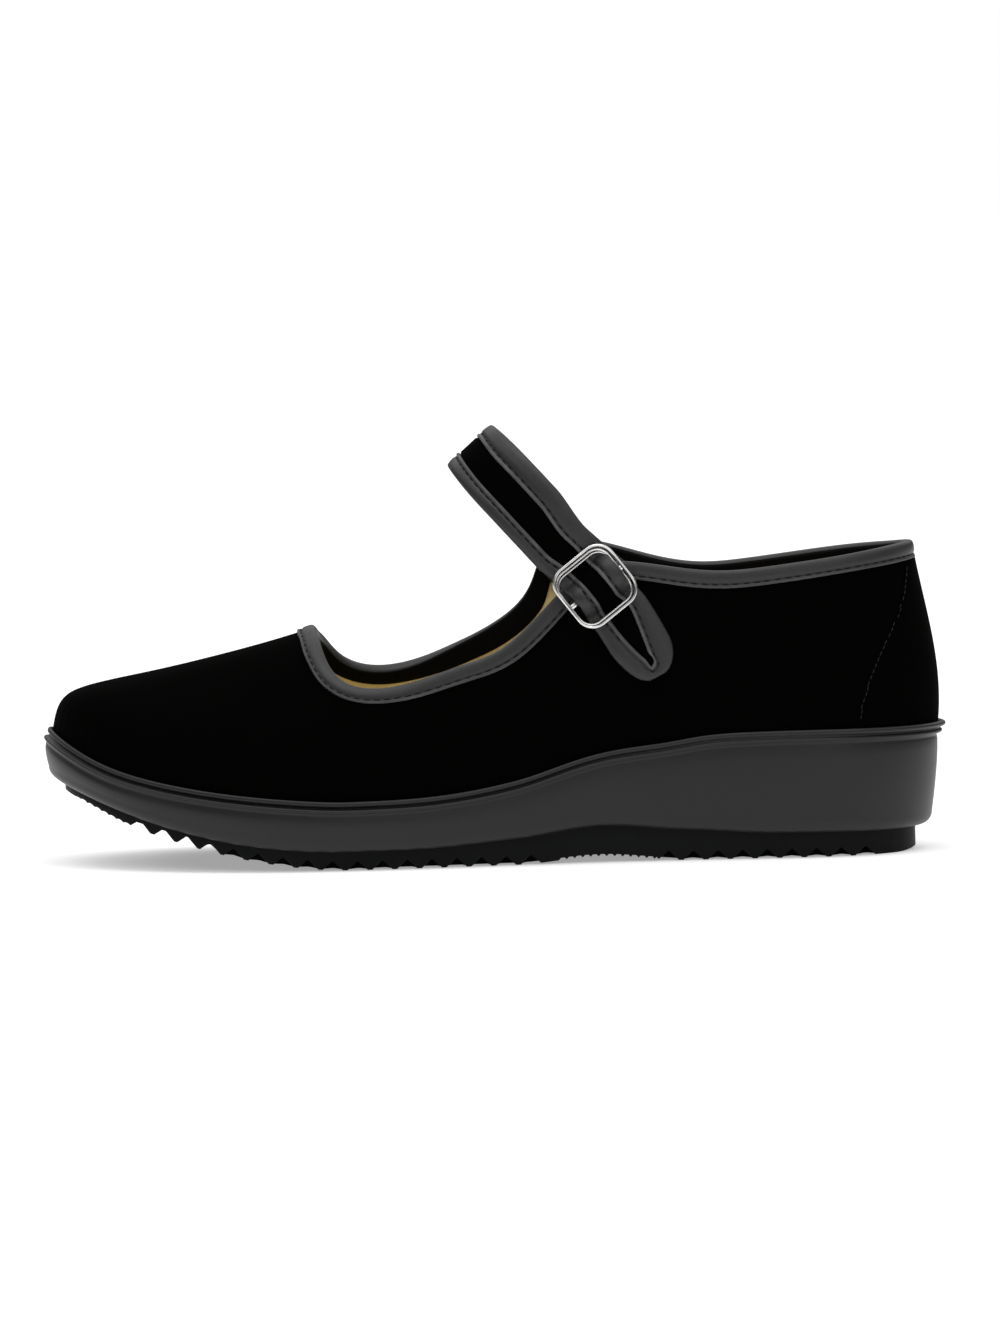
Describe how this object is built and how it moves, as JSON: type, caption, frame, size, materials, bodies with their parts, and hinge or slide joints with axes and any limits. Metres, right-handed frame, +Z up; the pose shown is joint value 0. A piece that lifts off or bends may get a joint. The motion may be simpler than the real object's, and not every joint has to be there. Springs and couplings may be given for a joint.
{
  "type": "mary jane flat shoe",
  "caption": "Left velvet mary jane flat with a taped topline, one strap over the instep, a square slide buckle on the outer side and a moulded wedge sole.",
  "frame": {"origin": "on the floor, below the middle of the bounding box", "axes": "+X from heel to toe, +Y to the outer side of the foot, +Z up"},
  "size_m": [0.2508, 0.0896, 0.1203],
  "materials": {
    "velvet": "matte cotton velvet, black",
    "tape": "satin imitation leather, black",
    "sole": "satin moulded sole, black",
    "lining": "plain cotton twill, tan",
    "metal": "bright nickel plating"
  },
  "bodies": {
    "root": {"sole": "sole", "upper": "velvet", "insole": "lining", "topline_tape": "tape", "heel_stay": "velvet", "strap": "velvet", "strap_tape": "tape", "buckle": "metal", "buckle_keeper": "tape"}
  },
  "joints": []
}
